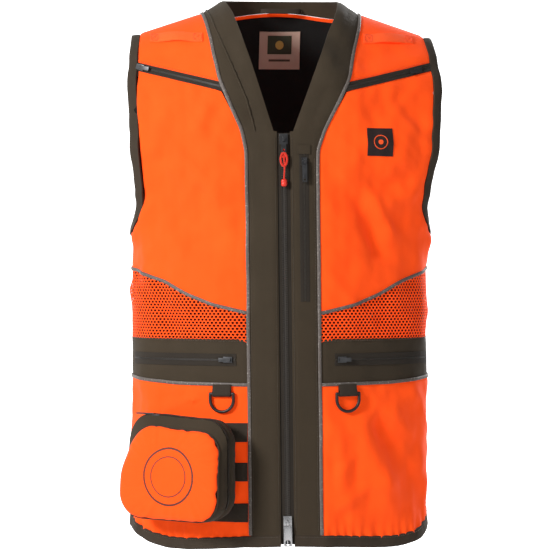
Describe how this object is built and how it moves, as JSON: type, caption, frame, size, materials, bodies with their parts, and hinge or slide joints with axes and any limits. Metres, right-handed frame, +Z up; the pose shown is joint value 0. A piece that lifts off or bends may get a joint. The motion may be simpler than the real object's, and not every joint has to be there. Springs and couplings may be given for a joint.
{
  "type": "blaze orange vest",
  "caption": "Sleeveless zip-front hunting vest in blaze orange with dark trim, mesh side panels, zipped pockets, D-rings and a clip-on pouch, in its worn shape.",
  "frame": {"origin": "on the centre plane, midway between the two shoulder seams at the height where they meet the neckband", "axes": "+Z up, -Y out of the front with the zip, +X to the wearer's left"},
  "size_m": [0.4322, 0.3156, 0.7555],
  "materials": {
    "orange_fabric": "fluorescent orange woven polyester, matt",
    "orange_mesh": "fluorescent orange open mesh",
    "dark_lining": "near-black lining",
    "olive_fabric": "dark olive-brown woven trim",
    "olive_webbing": "dark olive-brown webbing",
    "orange_webbing": "orange webbing",
    "reflective_piping": "grey reflective piping",
    "woven_label": "woven label",
    "dark_patch": "moulded patch",
    "zip_tape": "zip tape with moulded teeth",
    "gunmetal": "gunmetal",
    "bright_metal": "bright nickel",
    "brown_plastic": "moulded plastic",
    "red_cord": "red cord",
    "red_plastic": "red moulded bead"
  },
  "bodies": {
    "shell": {"back_panel": "orange_fabric", "back_mesh": "orange_mesh", "back_waist_band": "olive_fabric", "back_lower_panel": "orange_fabric", "back_lining": "dark_lining", "collar": "olive_fabric", "hanger_loop": "olive_webbing", "neck_labels": "woven_label", "right_yoke": "orange_fabric", "left_yoke": "orange_fabric", "shoulder_loops": "orange_webbing", "right_armhole_binding": "olive_fabric", "left_armhole_binding": "olive_fabric", "neckbands": "olive_fabric", "neck_piping": "reflective_piping"},
    "right_front": {"right_chest_panel": "orange_fabric", "right_mesh": "orange_mesh", "right_mesh_lining": "dark_lining", "right_waist_band": "olive_fabric", "right_lower_panel": "orange_fabric", "right_placket": "olive_fabric", "right_piping": "reflective_piping", "right_hem_binding": "olive_fabric", "right_zip": "zip_tape", "right_pocket_zips": "zip_tape", "right_ring_tab": "olive_webbing", "right_front_binding": "olive_fabric", "pouch_front": "orange_fabric", "pouch_gusset": "olive_fabric", "pouch_back": "olive_fabric", "strap_ladder": "olive_webbing"},
    "left_front": {"left_chest_panel": "orange_fabric", "left_mesh": "orange_mesh", "left_mesh_lining": "dark_lining", "left_waist_band": "olive_fabric", "left_lower_panel": "orange_fabric", "left_placket": "olive_fabric", "left_piping": "reflective_piping", "left_hem_binding": "olive_fabric", "left_zip": "zip_tape", "left_pocket_zips": "zip_tape", "left_ring_tab": "olive_webbing", "left_front_binding": "olive_fabric", "placket_zip": "zip_tape", "chest_patch": "dark_patch"},
    "top_slider": {"top_slider": "gunmetal"},
    "top_puller": {"top_puller": "gunmetal", "pull_cord": "red_cord", "cord_bead": "red_plastic"},
    "bottom_slider": {"bottom_slider": "bright_metal"},
    "bottom_puller": {"bottom_puller": "bright_metal"},
    "placket_slider": {"placket_slider": "gunmetal"},
    "placket_puller": {"placket_puller": "gunmetal"},
    "right_chest_slider": {"right_chest_slider": "gunmetal"},
    "left_chest_slider": {"left_chest_slider": "gunmetal"},
    "right_waist_slider": {"right_waist_slider": "gunmetal"},
    "left_waist_slider": {"left_waist_slider": "gunmetal"},
    "right_ring": {"right_ring": "brown_plastic"},
    "left_ring": {"left_ring": "brown_plastic"},
    "pouch_slider": {"pouch_slider": "gunmetal"}
  },
  "joints": [
    {"name": "right_front_opening", "type": "hinge", "parent": "shell", "child": "right_front", "pos_m": [-0.206, 0, 0], "axis": [0, 0, -1], "range_deg": [0, 25]},
    {"name": "left_front_opening", "type": "hinge", "parent": "shell", "child": "left_front", "pos_m": [0.206, 0, 0], "axis": [0, 0, 1], "range_deg": [0, 25]},
    {"name": "top_slider_travel", "type": "slide", "parent": "left_front", "child": "top_slider", "axis": [0.0109, 0, -0.9999], "range_m": [0, 0.34]},
    {"name": "top_puller_swing", "type": "hinge", "parent": "top_slider", "child": "top_puller", "pos_m": [-0.00249, -0.1315, -0.182], "axis": [-0.9999, 0, -0.0109], "range_deg": [0, 120]},
    {"name": "bottom_slider_travel", "type": "slide", "parent": "left_front", "child": "bottom_slider", "axis": [-0.0109, 0, 0.9999], "range_m": [0, 0.1]},
    {"name": "bottom_puller_swing", "type": "hinge", "parent": "bottom_slider", "child": "bottom_puller", "pos_m": [0.00306, -0.1315, -0.689], "axis": [-0.9999, 0, -0.0109], "range_deg": [0, 120]},
    {"name": "placket_slider_travel", "type": "slide", "parent": "left_front", "child": "placket_slider", "axis": [0.0109, 0.001, -0.9999], "range_m": [0, 0.16]},
    {"name": "placket_puller_swing", "type": "hinge", "parent": "placket_slider", "child": "placket_puller", "pos_m": [0.02505, -0.13324, -0.212], "axis": [-0.9961, -0.0875, -0.0109], "range_deg": [0, 120]},
    {"name": "right_chest_slider_travel", "type": "hinge", "parent": "right_front", "child": "right_chest_slider", "pos_m": [0.10362, 0.40691, -0.1209], "axis": [0.2417, -0.0705, 0.9678], "range_deg": [0, 10.37]},
    {"name": "left_chest_slider_travel", "type": "hinge", "parent": "left_front", "child": "left_chest_slider", "pos_m": [-0.10637, 0.40619, -0.1083], "axis": [0.2282, 0.0893, -0.9695], "range_deg": [0, 9.44]},
    {"name": "right_waist_slider_travel", "type": "hinge", "parent": "right_front", "child": "right_waist_slider", "pos_m": [0, 0.152, -0.474], "axis": [0, 0, -1], "range_deg": [0, 19.6]},
    {"name": "left_waist_slider_travel", "type": "hinge", "parent": "left_front", "child": "left_waist_slider", "pos_m": [0, 0.152, -0.474], "axis": [0, 0, 1], "range_deg": [0, 19.6]},
    {"name": "right_ring_swing", "type": "hinge", "parent": "right_front", "child": "right_ring", "pos_m": [-0.08381, -0.11893, -0.519], "axis": [-0.9553, 0.2955, -0.0109], "range_deg": [0, 110]},
    {"name": "left_ring_swing", "type": "hinge", "parent": "left_front", "child": "left_ring", "pos_m": [0.08381, -0.11893, -0.519], "axis": [-0.9553, -0.2955, -0.0109], "range_deg": [0, 110]},
    {"name": "pouch_slider_travel", "type": "slide", "parent": "right_front", "child": "pouch_slider", "axis": [0.8387, -0.5446, 0], "range_m": [0, 0.07]}
  ],
  "couplings": [
    {"joint": "left_front_opening", "follows": "right_front_opening", "ratio": 1}
  ]
}
